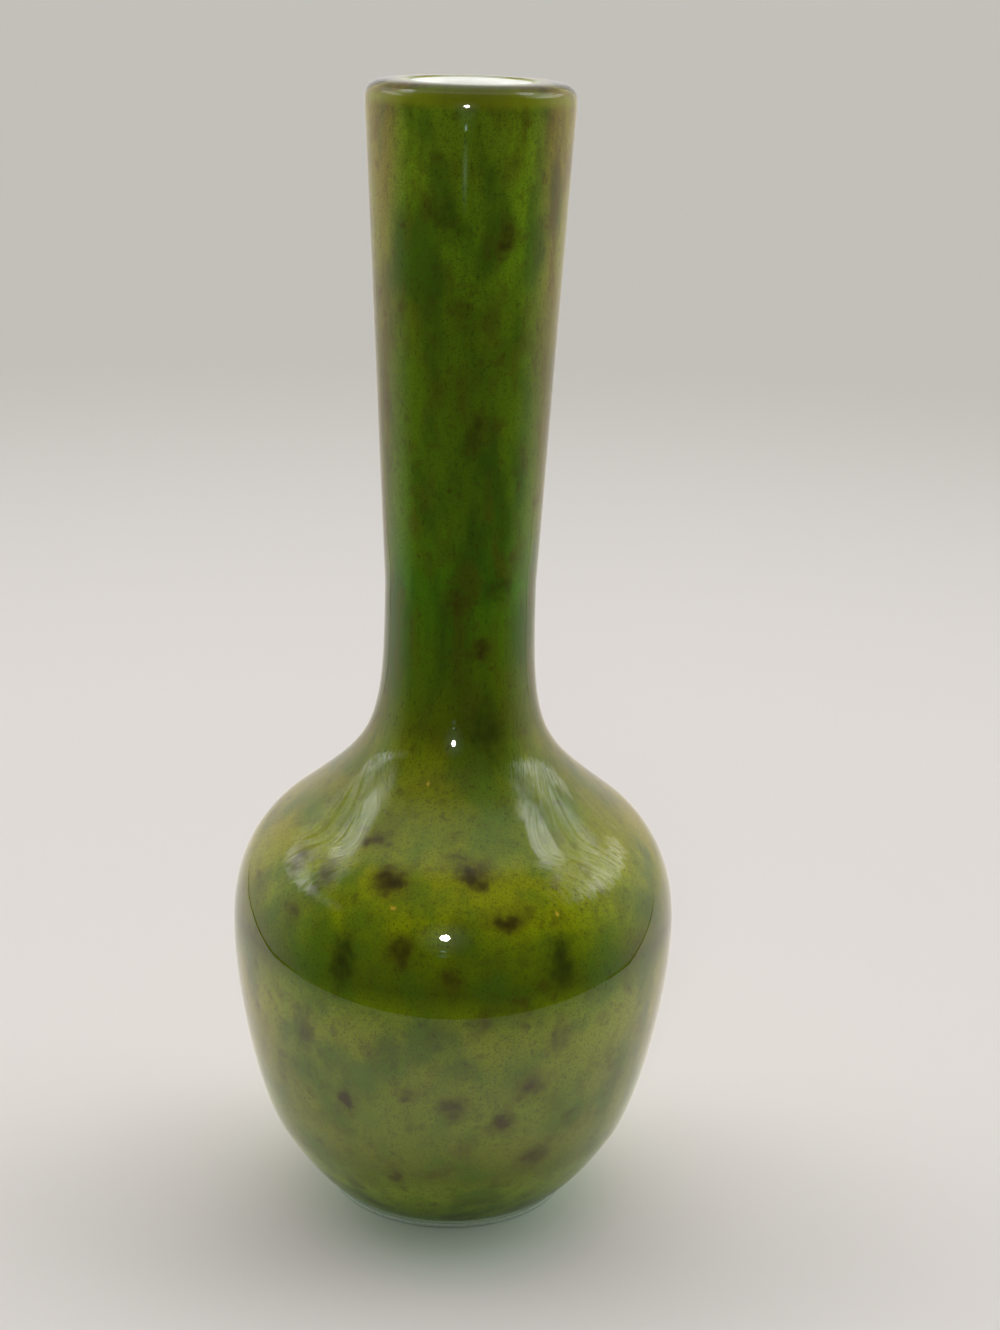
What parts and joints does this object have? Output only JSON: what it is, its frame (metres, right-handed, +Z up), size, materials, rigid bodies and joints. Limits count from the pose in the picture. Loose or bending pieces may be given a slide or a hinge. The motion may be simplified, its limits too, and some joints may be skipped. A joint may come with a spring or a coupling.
{
  "type": "bud vase",
  "caption": "Bottle-shaped cased glass bud vase: long flared neck, round shoulder, tapering belly, opal lining, mottled green layer, clear casing.",
  "frame": {"origin": "centre of the ground foot, on the plane that the vase stands on", "axes": "+Z up along the axis of the vase, which is round, so +X and +Y are any two directions at right angles to it; -Y faces the picture's camera"},
  "size_m": [0.0798, 0.0798, 0.2],
  "materials": {
    "clear_glass": "fire-polished gloss, ground flat under the foot",
    "mottled_green_glass": "green glass powder with soft brown and yellow-green spots, fused between the other layers",
    "opal_glass": "glossy opaque white"
  },
  "bodies": {
    "root": {"clear_casing": "clear_glass", "green_colour_layer": "mottled_green_glass", "opal_lining": "opal_glass"}
  },
  "joints": []
}
